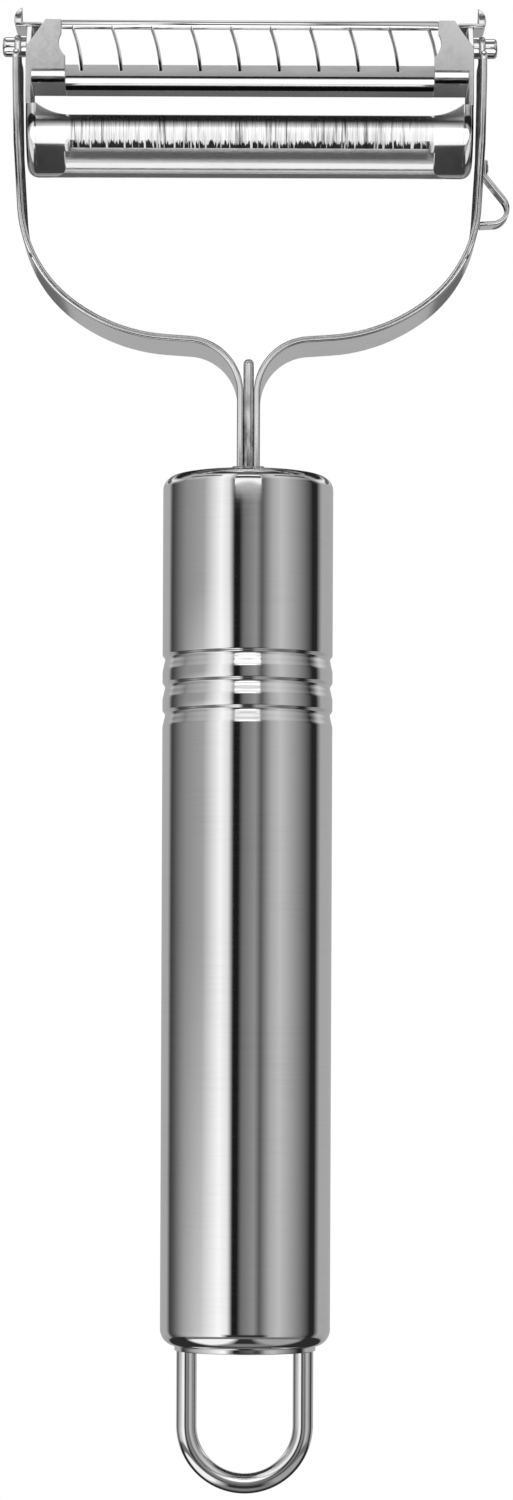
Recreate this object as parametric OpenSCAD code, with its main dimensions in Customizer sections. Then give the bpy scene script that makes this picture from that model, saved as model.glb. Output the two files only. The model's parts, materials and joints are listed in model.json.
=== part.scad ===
// Y-shaped peeler, all stainless steel, with a swivelling head that carries two blades:
// a julienne blade above and a straight peeling blade below.
// The handle stands along Z, the head lies along X and the front of the head faces -Y.
// The origin is on the handle's axis, in the middle of the grip.

/* [Handle] */
// Outer diameter of the handle tube
handle_d = 20; // [19.5:0.5:24]
// Length of the handle tube
handle_len = 102.2; // [95:0.1:130]
// Wall of the handle tube
handle_wall = 0.8; // [0.6:0.1:1]
// Rounding of the tube's top end
top_round = 1.6; // [1.1:0.1:2]
// Rounding of the tube's bottom end
bottom_round = 2; // [1.2:0.1:2.4]
// Height of the middle of the grip above the tube's bottom end
grip_height = 37.5; // [30:0.5:45]

/* [Grooves] */
// Number of rolled grooves round the handle
groove_count = 3; // [1:1:4]
// Height of the lowest groove above the tube's bottom end
groove_height = 74.2; // [65:0.1:85]
// Distance from groove to groove
groove_pitch = 3.25; // [2.6:0.05:4]
// Depth of each groove
groove_depth = 0.3; // [0.15:0.05:0.4]
// Radius of the groove's section
groove_radius = 1.1; // [0.8:0.1:1.3]

/* [End cap] */
// How far the cap stands out below the tube
cap_proud = 0.5; // [0.3:0.1:2]
// Thickness of the cap's flange inside the tube
cap_flange = 1.2; // [0.8:0.1:2]
// Metal left between the loop's wire and the cap's edge
cap_web = 0.25; // [0.2:0.05:0.4]

/* [Hanging loop] */
// Distance from the handle's side in to the loop's outer side
loop_inset = 1.95; // [1.85:0.05:3]
// Diameter of the loop's wire
wire_d = 2.4; // [1.8:0.1:3]
// Straight length of each leg below the cap
loop_leg = 8.8; // [4:0.1:16]

/* [Yoke] */
// Width across the outer faces of the two arms at the pivots
yoke_w = 55.3; // [50:0.1:66]
// Thickness of the arm strips
strip_t = 0.75; // [0.6:0.05:1]
// Depth of the arm strips, front to back
strip_depth = 10.8; // [8:0.1:12]
// Height of the pivot axis above the handle's top
pivot_height = 50.5; // [49:0.1:62]
// Height above the handle's top at which the arms fork
fork_height = 9.1; // [7:0.1:11]
// Radius of the fork bend, at the middle of the strip
fork_radius = 6.3; // [4:0.1:7]
// Radius of the flat part of each shoulder
shoulder_radius = 20.5; // [16:0.5:22]
// Radius of the corner of each shoulder
corner_radius = 15; // [11:0.5:16]
// Radius of the slight bow along each arm
bow_radius = 200; // [120:5:210]
// Radius of the ear round the pivot hole
ear_radius = 1.4; // [1.3:0.05:1.5]
// Drop from the pivot axis to the arm's full depth
ear_drop = 1.2; // [1.2:0.1:2]

/* [Stem] */
// Thickness of the tang between the two strips
tang_t = 1.2; // [0.8:0.1:1.6]
// Height of the tang's rounded end above the handle's top
tang_height = 13.1; // [11:0.1:14]
// Depth to which the stem is sunk in the handle
stem_sunk = 8.7; // [6:0.1:20]
// Height of the anchor plug inside the handle
anchor_h = 6; // [4:0.5:7]
// Width and height of the weld bead round the foot of the stem
bead = 0.5; // [0.3:0.1:0.8]

/* [Pivot pins] */
// Diameter of the pins' shanks
pin_d = 1.6; // [1.4:0.1:1.7]
// Diameter of the pins' heads
pin_head_d = 2.3; // [2.1:0.1:2.6]
// Length of the outer head
pin_head_len = 1.4; // [1:0.1:2.5]
// Rounding of the outer head's end
pin_round = 0.45; // [0.2:0.05:0.6]
// Length of the riveted inner head
pin_tail_len = 0.5; // [0.4:0.1:0.9]
// Running clearance between shank and bracket, on the radius
pin_gap = 0.05; // [0.02:0.01:0.08]
// End play between the pin's shoulders and the bracket, on each side
pin_play = 0.1; // [0.05:0.05:0.2]

/* [Head brackets] */
// Gap between each arm and its bracket
side_gap = 0.8; // [0.6:0.05:1.2]
// Thickness of the head's sheet metal
sheet_t = 0.6; // [0.5:0.05:0.7]
// Distance of the head's flat front from the pivot axis
front_reach = 5.5; // [5.2:0.1:6]
// Height of the brackets' top edge above the pivot axis
plate_top = 2; // [1.9:0.05:2.3]
// Drop from the pivot axis to the underside of the brackets' flange
flange_drop = 5.15; // [4.9:0.05:5.3]
// Distance of the flange's rear edge behind the pivot axis
flange_back = 2.6; // [2:0.1:4]
// Outer radius of the bend between front and flange
bend_radius = 1.4; // [1.2:0.1:1.5]
// Width of the brackets' front, without the cheek
plate_w = 4; // [3.8:0.1:4.6]
// Depth of the stop tongue over the arm's end
tongue_depth = 5; // [4:0.1:5.4]
// Thickness of the stop tongue
tongue_t = 0.5; // [0.4:0.05:0.6]
// Height of the tongue's underside above the pivot axis
tongue_height = 1.9; // [1.85:0.05:2.1]
// Height of the pointed tip above the tongue's underside
tip_h = 2.8; // [2:0.1:3.4]
// Width of the pointed tip, seen from the front
tip_w = 0.9; // [0.7:0.05:1]

/* [Julienne blade] */
// Drop from the pivot axis to the blade's cutting edge
julienne_edge = 3.3; // [3.1:0.05:3.6]
// Drop from the pivot axis to the underside of the blade
julienne_drop = 6; // [5.8:0.05:6.2]
// Depth of the blade's flange, from the front
julienne_depth = 4.4; // [3:0.1:5]
// Number of teeth
tooth_count = 10; // [6:1:12]
// Distance from each bracket in to the top of the nearest tooth
tooth_inset = 0.75; // [0.5:0.05:1.5]
// Thickness of a tooth
tooth_t = 0.4; // [0.3:0.05:0.6]
// Depth of a tooth, front to back
tooth_depth = 2.2; // [1.5:0.1:3]
// Slant of the teeth from upright
tooth_slant = 12; // [0:1:16]
// Depth of the notches in the blade's edge
notch_depth = 0.7; // [0.5:0.05:1]
// Diameter of the guard bar above the teeth
bar_d = 1.06; // [0.9:0.02:1.2]

/* [Peeling blade] */
// Outer radius of the trough-shaped blade
trough_radius = 6; // [5.8:0.1:6.4]
// Drop from the pivot axis to the trough's axis
trough_drop = 9.2; // [8.9:0.1:10]
// Angle at which the ground bevel starts, below the trough's front
grind_angle = 28; // [25:1:32]
// Angle of the cutting edge below the trough's front
edge_angle = 42; // [38:1:48]
// Thickness that the ground bevel leaves at the cutting edge
edge_land = 0.1; // [0.08:0.01:0.3]
// Angle of the slot's rear edge below the trough's front
rear_angle = 97; // [88:1:105]
// Metal left between the slot and each end of the blade
slot_margin = 4; // [3:0.1:6]
// Radius of the rounded lobes beside the slot
lobe_round = 3.4; // [2.4:0.1:4]
// Radius of the pressed corners where the blade's ends meet the cheeks
end_round = 1.2; // [1:0.1:1.4]
// Width of the rims that rise at the blade's ends
riser_w = 3.9; // [3:0.1:4.2]
// Height of those rims
riser_h = 1.4; // [1:0.1:2.5]
// Radius of the hollow curve of those rims
riser_radius = 6.5; // [4:0.1:8]

/* [Eye remover] */
// Thickness of the eye remover's strip
eye_t = 0.5; // [0.4:0.05:0.6]
// Depth of the eye remover's strip
eye_depth = 3; // [2:0.1:4]
// Drop from the pivot axis to the top of the eye remover's foot
eye_drop = 13.3; // [11:0.1:14]
// Length of the foot that lies on the arm
eye_foot = 1.5; // [1.2:0.1:2.5]
// Reach of the straight leg away from the arm
eye_leg = 3.2; // [1.8:0.1:4]
// Radius of the loop's nose, at the middle of the strip
eye_nose = 1.75; // [1.2:0.05:2]

/* [Hidden] */
$fn = 64;

// Small gap between pieces that are pushed or welded together, and overlap for clean cuts
fit = 0.02;
eps = 0.01;
cut = 1;
// Largest turn from face to face round a bend of a strip
bend_step = 3;

// Heights along the handle
tube_bottom = -grip_height;
tube_top = tube_bottom + handle_len;
cap_bottom = tube_bottom - cap_proud;
bore_r = handle_d / 2 - handle_wall;

// End cap and hanging loop
loop_w = handle_d - 2 * loop_inset;
loop_r = (loop_w - wire_d) / 2;
boss_r = loop_w / 2 + cap_web;
cap_depth = cap_proud + bottom_round + cap_flange;

// Stem, from the middle outwards: half the tang, then one strip
stem_bottom = tube_top - stem_sunk;
strip_x = (tang_t + strip_t) / 2;
stem_w = tang_t + 2 * strip_t;

// Pivot axis and the faces across the head
pivot_z = tube_top + pivot_height;
arm_outer = yoke_w / 2;
arm_inner = arm_outer - strip_t;
cheek_outer = arm_inner - side_gap;
cheek_inner = cheek_outer - sheet_t;
plate_inner = cheek_inner - plate_w;

// Headings of the arm along its path, in degrees above level
level = 4;
knee = 38;
lean = 85.5;

// Step of a path: straight length, then a bend of this radius through this signed angle
function step(straight, radius, turn) = [straight, radius, turn];
// Place and heading after a straight length and a bend
function ahead(s, len) = [s[0] + len * cos(s[2]), s[1] + len * sin(s[2]), s[2]];
function side(turn) = turn < 0 ? -1 : 1;
function bent(s, r, turn) = [
    s[0] + side(turn) * r * (sin(s[2] + turn) - sin(s[2])),
    s[1] - side(turn) * r * (cos(s[2] + turn) - cos(s[2])),
    s[2] + turn];
function after(s, p) = p[2] == 0 ? ahead(s, p[0]) : bent(ahead(s, p[0]), p[1], p[2]);
// Place and heading at the start of step i
function at_step(s, path, i) = i == 0 ? s : after(at_step(s, path, i - 1), path[i - 1]);

// Run of the nearly level stretch that brings the arm out to the yoke's width
bends_out = fork_radius * (1 - sin(level)) + shoulder_radius * (sin(knee) - sin(level))
    + corner_radius * (sin(lean) - sin(knee)) + bow_radius * (1 - sin(lean));
level_run = (arm_outer - strip_t / 2 - strip_x - bends_out) / cos(level);
arm_start = [strip_x, stem_bottom, 90];
arm_bends = [
    step(stem_sunk + fork_height, fork_radius, level - 90),
    step(level_run, shoulder_radius, knee - level),
    step(0, corner_radius, lean - knee),
    step(0, bow_radius, 90 - lean)];
arm_bow_end = at_step(arm_start, arm_bends, 4);
shoulder_round = 1.2;
shoulder_z = pivot_z - ear_drop;
arm_path = concat(arm_bends, [step(shoulder_z - shoulder_round - arm_bow_end[1], 0, 0)]);
// The same start and path on the other side of the handle
function other_start(s) = [-s[0], s[1], 180 - s[2]];
function other_path(path) = [for (p = path) step(p[0], p[1], -p[2])];

// Outer face of the bowed arm at a height
function bow_x(z) = arm_bow_end[0]
    - bow_radius * (1 - sqrt(1 - pow(max(0, arm_bow_end[1] - z) / bow_radius, 2)));
function bow_heading(z) = 90 - asin(max(0, arm_bow_end[1] - z) / bow_radius);

// Details of the brackets: how far the guard bar enters them, how far their top corner
// slopes in from the cheek, and the hollow at the window's end, from the window's top corner
bar_seat = 0.45;
top_slope = 2.3;
hollow_radius = 1.9;
hollow_in = 1.15;
hollow_down = 2.7;
// Overlap of the tongue inside the cheek, and the tip's half depth, front to back
tongue_lap = 1.1;
tip_half = 1.3;
// Width and height of the julienne blade's ground bevel
bevel_w = 0.45;
bevel_h = 0.72;

// Head: places across and up from the pivot axis
front_y = -front_reach;
plate_back_y = front_y + sheet_t;
bar_z = plate_top - bar_d / 2;
bar_y = front_y + bar_d / 2;
bar_half = plate_inner + bar_seat;
corner_start = cheek_outer - end_round;
trough_half = corner_start - fit;
tip_start = arm_inner - 0.1;
tooth_pitch = 2 * (plate_inner - tooth_inset) / (tooth_count - 1);
trough_inner = trough_radius - sheet_t;
slot_half = cheek_inner - slot_margin;
slot_angle = (edge_angle + rear_angle) / 2;
slot_w = 2 * trough_radius * sin((rear_angle - edge_angle) / 2);
lobe_out = 0.6 * slot_margin;
// The ground bevel ends a little before the slot does
grind_inset = 0.4;

// Eye remover: a foot on the arm, a leg outwards, a nose and a leg back to the arm
eye_top = pivot_z - eye_drop;
eye_heading = bow_heading(eye_top) - 180;
eye_turn = 42;
eye_knee = 0.9;
eye_back_heading = 183;
eye_start = [bow_x(eye_top) + strip_t / 2 + eye_t / 2 + fit, eye_top, eye_heading];
eye_bends = [
    step(eye_foot, eye_knee, eye_turn),
    step(eye_leg, eye_nose, eye_back_heading - 360 - eye_heading - eye_turn)];

module on_side(s) {
    if (s < 0) mirror([1, 0, 0]) children();
    else children();
}

// Turns a drawing in X and Z, extruded about its middle, to stand in that plane
module upright_xz() {
    rotate([90, 0, 0]) children();
}

// Turns a drawing in Y and Z into a solid that runs along X from x0 to x1
module along_x(x0, x1) {
    translate([x0, 0, 0]) rotate([90, 0, 90]) linear_extrude(x1 - x0) children();
}

// Points along one step of a path, at an offset to its left, with bends in small turns
function step_points(s, p, offset) =
    let (b = ahead(s, p[0]), n = max(1, ceil(abs(p[2]) / bend_step)))
    [for (j = [0:n]) let (c = p[2] == 0 ? b : bent(b, p[1], p[2] * j / n))
        [c[0] - offset * sin(c[2]), c[1] + offset * cos(c[2])]];
// Points along a whole path, at an offset to its left
function path_points(start, path, offset) = concat(
    [[start[0] - offset * sin(start[2]), start[1] + offset * cos(start[2])]],
    [for (i = [0:len(path) - 1]) each step_points(at_step(start, path, i), path[i], offset)]);
function reversed(points) = [for (i = [len(points) - 1:-1:0]) points[i]];
// Leaves out a point that lies on the one before it
function distinct(points) = [for (i = [0:len(points) - 1])
    if (i == 0 || norm(points[i] - points[i - 1]) > eps) points[i]];

// Strip of metal bent along a path in the XZ plane
module bent_strip(start, path, thick, depth) {
    upright_xz() linear_extrude(depth, center = true)
        polygon(concat(
            distinct(path_points(start, path, thick / 2)),
            reversed(distinct(path_points(start, path, -thick / 2)))));
}

// Half of a round-cornered section, for turning about Z
module turned_section(r, z0, z1, round0, round1) {
    translate([0, z0 + round0]) square([r, z1 - z0 - round0 - round1]);
    translate([0, z0]) square([r - round0, round0 + eps]);
    translate([0, z1 - round1 - eps]) square([r - round1, round1 + eps]);
    intersection() {
        union() {
            translate([r - round0, z0 + round0]) circle(round0);
            translate([r - round1, z1 - round1]) circle(round1);
        }
        translate([0, z0]) square([r, z1 - z0]);
    }
}

// Inside of the tube, with its corners cut off at 45 degrees
module bore_section() {
    z0 = tube_bottom + handle_wall;
    z1 = tube_top - handle_wall;
    low = bottom_round - handle_wall;
    high = top_round - handle_wall;
    polygon([
        [0, z0], [bore_r - low, z0], [bore_r, z0 + low],
        [bore_r, z1 - high], [bore_r - high, z1], [0, z1]]);
}

module handle_tube() {
    color("gainsboro") difference() {
        rotate_extrude($fn = 96) difference() {
            turned_section(handle_d / 2, tube_bottom, tube_top, bottom_round, top_round);
            bore_section();
            translate([0, tube_bottom - cut]) square([boss_r + fit, cut + bottom_round]);
            for (i = [0:groove_count - 1])
                translate([handle_d / 2 + groove_radius - groove_depth,
                    tube_bottom + groove_height + i * groove_pitch])
                    circle(groove_radius);
        }
        stem_room(tube_top - handle_wall - cut, tube_top + cut);
    }
}

// The opening that the stem passes through
module stem_room(z0, z1) {
    translate([-stem_w / 2 - fit, -strip_depth / 2 - fit, z0])
        cube([stem_w + 2 * fit, strip_depth + 2 * fit, z1 - z0]);
}

module stem_anchor() {
    anchor_top = tube_top - handle_wall - fit;
    color("darkgray") difference() {
        translate([0, 0, anchor_top - anchor_h])
            cylinder(h = anchor_h - (top_round - handle_wall), r = bore_r - fit);
        stem_room(anchor_top - anchor_h - cut, anchor_top + cut);
    }
    color("darkgray") difference() {
        translate([0, 0, anchor_top - (top_round - handle_wall)])
            cylinder(h = top_round - handle_wall, r = bore_r - top_round);
        stem_room(anchor_top - anchor_h - cut, anchor_top + cut);
    }
}

module end_cap() {
    color("silver") difference() {
        union() {
            translate([0, 0, cap_bottom]) cylinder(h = cap_depth, r = boss_r);
            translate([0, 0, tube_bottom + bottom_round])
                cylinder(h = cap_flange, r = bore_r - fit);
        }
        for (s = [-1, 1])
            translate([s * loop_r, 0, cap_bottom - cut])
                cylinder(h = cap_depth + 2 * cut, d = wire_d + 2 * fit);
    }
}

module hanging_loop() {
    inner_stub = 0.6;
    leg_len = loop_leg + cap_depth + inner_stub;
    color("gainsboro") {
        for (s = [-1, 1])
            translate([s * loop_r, 0, cap_bottom - loop_leg]) cylinder(h = leg_len, d = wire_d);
        translate([0, 0, cap_bottom - loop_leg]) upright_xz() rotate([0, 0, 180])
            rotate_extrude(angle = 180, $fn = 96) translate([loop_r, 0]) circle(d = wire_d);
    }
}

module stem_tang() {
    tang_top = tube_top + tang_height;
    color("darkgray") upright_xz() linear_extrude(strip_depth, center = true) {
        translate([-tang_t / 2, stem_bottom]) square([tang_t, tang_top - tang_t / 2 - stem_bottom]);
        translate([0, tang_top - tang_t / 2]) circle(d = tang_t);
    }
}

module stem_weld() {
    color("silver") translate([0, 0, tube_top + eps]) difference() {
        linear_extrude(bead) {
            square([stem_w + 2 * bead, strip_depth], center = true);
            square([stem_w, strip_depth + 2 * bead], center = true);
            for (x = [-1, 1], y = [-1, 1])
                translate([x * stem_w / 2, y * strip_depth / 2]) circle(bead);
        }
        stem_room(-cut, bead + cut);
    }
}

// The arm's upper end: full depth with round corners, then an ear round the pivot hole
module arm_ear() {
    half = strip_depth / 2;
    along_x(arm_inner, arm_outer) difference() {
        union() {
            translate([0, pivot_z]) circle(ear_radius);
            translate([-ear_radius, shoulder_z - shoulder_round])
                square([2 * ear_radius, ear_drop + shoulder_round]);
            translate([-half + shoulder_round, shoulder_z - shoulder_round])
                square([strip_depth - 2 * shoulder_round, shoulder_round]);
            for (s = [-1, 1]) intersection() {
                translate([s * (half - shoulder_round), shoulder_z - shoulder_round])
                    circle(shoulder_round);
                translate([-half, shoulder_z - shoulder_round]) square([strip_depth, shoulder_round]);
            }
        }
        translate([0, pivot_z]) circle(d = pin_d + 2 * fit);
    }
}

module yoke_arm(s) {
    start = s < 0 ? other_start(arm_start) : arm_start;
    path = s < 0 ? other_path(arm_path) : arm_path;
    color("lightgray") {
        bent_strip(start, path, strip_t, strip_depth);
        on_side(s) arm_ear();
    }
}

module yoke_arm_left() {
    yoke_arm(-1);
}

module yoke_arm_right() {
    yoke_arm(1);
}

// Outer head of a rivet, with a rounded end
module domed_head() {
    r = pin_head_d / 2;
    rotate_extrude() {
        square([r, pin_head_len - pin_round]);
        square([r - pin_round, pin_head_len]);
        intersection() {
            translate([r - pin_round, pin_head_len - pin_round]) circle(pin_round);
            square([r, pin_head_len]);
        }
    }
}

// Rivet through the arm: outer head, shank, shoulder inside the arm, and riveted tail
module pivot_pin(s) {
    tail_start = cheek_inner - pin_play - pin_tail_len;
    color("whitesmoke") on_side(s) translate([0, 0, pivot_z]) rotate([0, 90, 0]) {
        translate([0, 0, arm_outer + fit]) domed_head();
        translate([0, 0, tail_start]) cylinder(h = arm_outer + fit + eps - tail_start, d = pin_d);
        translate([0, 0, cheek_outer + pin_play])
            cylinder(h = arm_inner - fit - cheek_outer - pin_play, d = pin_head_d);
        translate([0, 0, tail_start]) cylinder(h = pin_tail_len, d = pin_head_d);
    }
}

module pivot_pin_left() {
    pivot_pin(-1);
}

module pivot_pin_right() {
    pivot_pin(1);
}

// L-shaped section of the head's sheet: a front wall, a bend and a flange to the rear
module l_section(bottom, top, back) {
    inner = bend_radius - sheet_t;
    translate([front_y, bottom + bend_radius]) square([sheet_t, top - bottom - bend_radius]);
    translate([front_y + bend_radius, bottom]) square([back - front_y - bend_radius, sheet_t]);
    intersection() {
        translate([front_y + bend_radius, bottom + bend_radius]) difference() {
            circle(bend_radius);
            circle(inner);
        }
        translate([front_y, bottom]) square(bend_radius);
    }
}

// Front of the bracket: sloping outer corner and a hollow where the window ends
module bracket_front() {
    difference() {
        polygon([
            [plate_inner, -flange_drop + bend_radius],
            [cheek_outer, -flange_drop + bend_radius],
            [cheek_outer, -ear_drop],
            [cheek_outer - top_slope, plate_top],
            [bar_half, plate_top],
            [bar_half, plate_top - hollow_down],
            [plate_inner, plate_top - hollow_down]]);
        translate([plate_inner - hollow_in, plate_top - hollow_down]) circle(hollow_radius);
    }
}

// Cheek above the pressed end, up to the tongue over the pivot
module cheek_outline() {
    half = tongue_depth / 2;
    flat_r = trough_radius - end_round;
    corner_top = riser_h - trough_drop;
    difference() {
        polygon([
            [-flat_r, corner_top],
            [front_y, corner_top + eps],
            [front_y, -ear_drop],
            [-half, tongue_height + eps],
            [half, tongue_height + eps],
            [half, 0],
            [flat_r, corner_top]]);
        circle(d = pin_d + 2 * pin_gap);
    }
}

// Section of the pressed end from its middle out: flat cheek, then the corner to the trough
module end_section() {
    flat_r = trough_radius - end_round;
    translate([0, cheek_inner]) square([flat_r, sheet_t]);
    translate([flat_r, corner_start]) intersection() {
        difference() {
            circle(end_round);
            circle(end_round - sheet_t);
        }
        square(2 * end_round);
    }
}

// Pressed end: half a turn round the trough's axis, and straight up above that
module pressed_end() {
    rotate([0, 90, 0]) rotate([0, 0, -90]) rotate_extrude(angle = 180, $fn = 96) end_section();
    linear_extrude(riser_h) rotate(-90) {
        end_section();
        mirror([1, 0]) end_section();
    }
}

// Outline of the tongue's end and its tip, seen from the front: straight inside, bowed outside
module tip_front() {
    half_h = tip_h * 0.6;
    arc = (half_h * half_h + tip_w * tip_w) / (2 * tip_w);
    intersection() {
        translate([tip_w - arc, tip_h - half_h]) circle(arc, $fn = 128);
        square([tip_w, tip_h]);
    }
}

// Outline of the tip seen from the side, a pointed arch
module tip_side() {
    tall = tip_h - tongue_t;
    arc = (tall * tall + tip_half * tip_half) / (2 * tip_half);
    intersection() {
        translate([tip_half - arc, tongue_t - eps]) circle(arc, $fn = 128);
        translate([arc - tip_half, tongue_t - eps]) circle(arc, $fn = 128);
        translate([-tip_half, tongue_t - eps]) square([2 * tip_half, tall + 2 * eps]);
    }
}

// Tongue's end over the arm, with the pointed tip standing on it
module stop_tip() {
    translate([tip_start, 0, tongue_height]) intersection() {
        upright_xz() linear_extrude(tongue_depth, center = true) tip_front();
        union() {
            along_x(-cut, tip_w + cut) tip_side();
            along_x(-cut, tip_w + cut)
                translate([-tongue_depth / 2, 0]) square([tongue_depth, tongue_t]);
        }
    }
}

module head_bracket(s) {
    color("darkgray") on_side(s) translate([0, 0, pivot_z]) {
        upright_xz() translate([0, 0, -plate_back_y]) linear_extrude(sheet_t) bracket_front();
        along_x(plate_inner, cheek_inner + eps)
            l_section(-flange_drop, -flange_drop + bend_radius + eps, flange_back);
        along_x(cheek_inner, cheek_outer) cheek_outline();
        translate([0, 0, -trough_drop]) pressed_end();
        translate([cheek_inner - tongue_lap, -tongue_depth / 2, tongue_height])
            cube([tip_start + eps - cheek_inner + tongue_lap, tongue_depth, tongue_t]);
        stop_tip();
    }
}

module head_bracket_left() {
    head_bracket(-1);
}

module head_bracket_right() {
    head_bracket(1);
}

// Places a child at the top of each tooth, slanting alike
module each_tooth() {
    for (i = [0:tooth_count - 1])
        translate([(i - (tooth_count - 1) / 2) * tooth_pitch, 0, bar_z])
            rotate([0, -tooth_slant, 0]) children();
}

// One tooth blank, taller than the window and cut to it afterwards
module tooth_blank(grow) {
    below = bar_z + julienne_edge + 2;
    translate([-tooth_t / 2 - grow, front_y - grow, -below])
        cube([tooth_t + 2 * grow, tooth_depth + 2 * grow, below + 1]);
}

module julienne_blade() {
    half = plate_inner - fit;
    edge_z = -julienne_edge;
    color("gray") translate([0, 0, pivot_z]) difference() {
        along_x(-half, half) difference() {
            l_section(-julienne_drop, edge_z, front_y + julienne_depth);
            polygon([
                [plate_back_y + eps, edge_z - bevel_h],
                [plate_back_y + eps, edge_z + eps],
                [plate_back_y - bevel_w, edge_z + eps]]);
        }
        intersection() {
            each_tooth() tooth_blank(fit);
            translate([-half - cut, front_y - cut, edge_z - notch_depth])
                cube([2 * (half + cut), julienne_depth, notch_depth + cut]);
        }
    }
}

// The bracket's front below the window and a little round it, which the last teeth pass behind
module bracket_room() {
    room = plate_back_y - front_y + fit + cut;
    translate([plate_inner - fit, front_y - cut, -julienne_drop])
        cube([plate_w, room, julienne_drop + plate_top - hollow_down]);
}

module julienne_teeth() {
    foot_z = -julienne_edge - notch_depth + fit;
    color("silver") translate([0, 0, pivot_z]) difference() {
        intersection() {
            each_tooth() tooth_blank(0);
            translate([-cheek_inner, front_y, foot_z])
                cube([2 * cheek_inner, tooth_depth, bar_z - foot_z]);
        }
        translate([-cheek_inner, bar_y, bar_z]) rotate([0, 90, 0])
            cylinder(h = 2 * cheek_inner, d = bar_d + 2 * fit);
        for (s = [-1, 1]) on_side(s) bracket_room();
    }
}

module guard_bar() {
    color("whitesmoke") translate([-bar_half + fit, bar_y, pivot_z + bar_z]) rotate([0, 90, 0])
        cylinder(h = 2 * (bar_half - fit), d = bar_d);
}

// Slot through the trough's floor, wider at the rear, where the lobes beside it are rounded
module trough_slot() {
    reach = trough_radius + cut;
    wide = slot_half + lobe_out;
    rear = slot_w / 2;
    run = sqrt(lobe_round * lobe_round - pow(lobe_round - lobe_out, 2));
    rotate([-(90 - slot_angle), 0, 0]) translate([0, 0, -reach]) linear_extrude(reach) {
        square([2 * slot_half, slot_w], center = true);
        difference() {
            translate([-wide, rear - run - eps]) square([2 * wide, run + eps]);
            for (x = [-1, 1])
                translate([x * (slot_half + lobe_round), rear - run - eps]) circle(lobe_round);
        }
    }
}

// Sheet that rises from the trough's wall to the pressed corner, with a hollow rim
module riser(s) {
    y0 = s < 0 ? -trough_radius : trough_inner;
    run = [riser_w, riser_h];
    across = [-riser_h, riser_w] / norm(run);
    to_centre = sqrt(riser_radius * riser_radius - pow(norm(run) / 2, 2));
    translate([trough_half - riser_w, y0 + sheet_t, -eps]) upright_xz()
        linear_extrude(sheet_t) difference() {
            square(run);
            translate(run / 2 + to_centre * across) circle(riser_radius, $fn = 128);
        }
}

// Room in front of the ground bevel, which thins the sheet towards the cutting edge
module grind_room() {
    function place(r, a) = [-r * cos(a), -r * sin(a)];
    start = place(trough_radius, grind_angle);
    end = place(trough_inner + edge_land, edge_angle);
    run = end - start;
    down = [run[1], -run[0]] / norm(run);
    along_x(-slot_half + grind_inset, slot_half - grind_inset) polygon([
        start - 0.3 * run, start + 1.5 * run, start + 1.5 * run + down, start - 0.3 * run + down]);
}

module peeling_blade() {
    color("silver") translate([0, 0, pivot_z - trough_drop]) {
        difference() {
            along_x(-trough_half, trough_half) intersection() {
                difference() {
                    circle(trough_radius, $fn = 128);
                    circle(trough_inner, $fn = 128);
                }
                translate([-trough_radius - cut, -trough_radius - cut])
                    square([2 * (trough_radius + cut), trough_radius + cut]);
            }
            trough_slot();
            grind_room();
        }
        for (x = [-1, 1], y = [-1, 1]) on_side(x) riser(y);
    }
}

module eye_remover() {
    turned = at_step(eye_start, eye_bends, 2);
    face_x = bow_x(turned[1]) + strip_t / 2;
    back_run = (turned[0] - face_x) - fit;
    color("gainsboro") difference() {
        bent_strip(eye_start, concat(eye_bends, [step(back_run, 0, 0)]), eye_t, eye_depth);
        yoke_arm_room();
    }
}

// The right arm's space and a little round it, which nothing on it may enter
module yoke_arm_room() {
    bent_strip(arm_start, arm_path, strip_t + 2 * fit, strip_depth + 2 * fit);
}

// Spot weld on the eye remover's foot
module eye_weld() {
    foot = ahead(eye_start, eye_foot / 2);
    color("silver") translate([foot[0] + eye_t / 2 + fit, 0, foot[1]]) rotate([0, 90, 0])
        cylinder(h = 0.12, r = 0.5);
}

handle_tube();
stem_anchor();
end_cap();
hanging_loop();
stem_tang();
stem_weld();
yoke_arm_left();
yoke_arm_right();
pivot_pin_left();
pivot_pin_right();
head_bracket_left();
head_bracket_right();
julienne_blade();
julienne_teeth();
guard_bar();
peeling_blade();
eye_remover();
eye_weld();
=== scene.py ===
import json
import math

import bmesh
import bpy
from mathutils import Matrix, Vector


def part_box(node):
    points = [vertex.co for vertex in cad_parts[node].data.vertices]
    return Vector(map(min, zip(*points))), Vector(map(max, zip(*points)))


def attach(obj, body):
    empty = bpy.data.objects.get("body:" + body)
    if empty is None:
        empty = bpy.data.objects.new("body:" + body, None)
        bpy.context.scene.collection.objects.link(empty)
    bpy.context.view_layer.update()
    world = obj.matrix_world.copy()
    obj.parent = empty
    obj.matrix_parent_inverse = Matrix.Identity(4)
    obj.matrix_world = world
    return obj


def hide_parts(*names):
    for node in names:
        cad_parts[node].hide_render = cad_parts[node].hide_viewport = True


bl_info = {
    "name": "Y-shaped peeler",
    "version": (1, 0, 0),
    "blender": (4, 5, 0),
    "location": "3D View > Sidebar > Peeler",
    "description": "Models the pieces of an all-steel peeler over its CAD frame",
    "category": "Object",
}

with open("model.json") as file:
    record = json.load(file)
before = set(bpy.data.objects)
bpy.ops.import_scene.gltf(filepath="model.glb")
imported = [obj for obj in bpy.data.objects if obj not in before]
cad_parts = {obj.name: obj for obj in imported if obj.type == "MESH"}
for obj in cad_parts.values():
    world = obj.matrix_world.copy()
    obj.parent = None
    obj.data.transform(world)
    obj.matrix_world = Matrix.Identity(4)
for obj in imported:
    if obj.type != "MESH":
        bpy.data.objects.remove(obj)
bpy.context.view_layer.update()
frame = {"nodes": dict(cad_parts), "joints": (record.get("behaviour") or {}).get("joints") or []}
MM = 0.001

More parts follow.
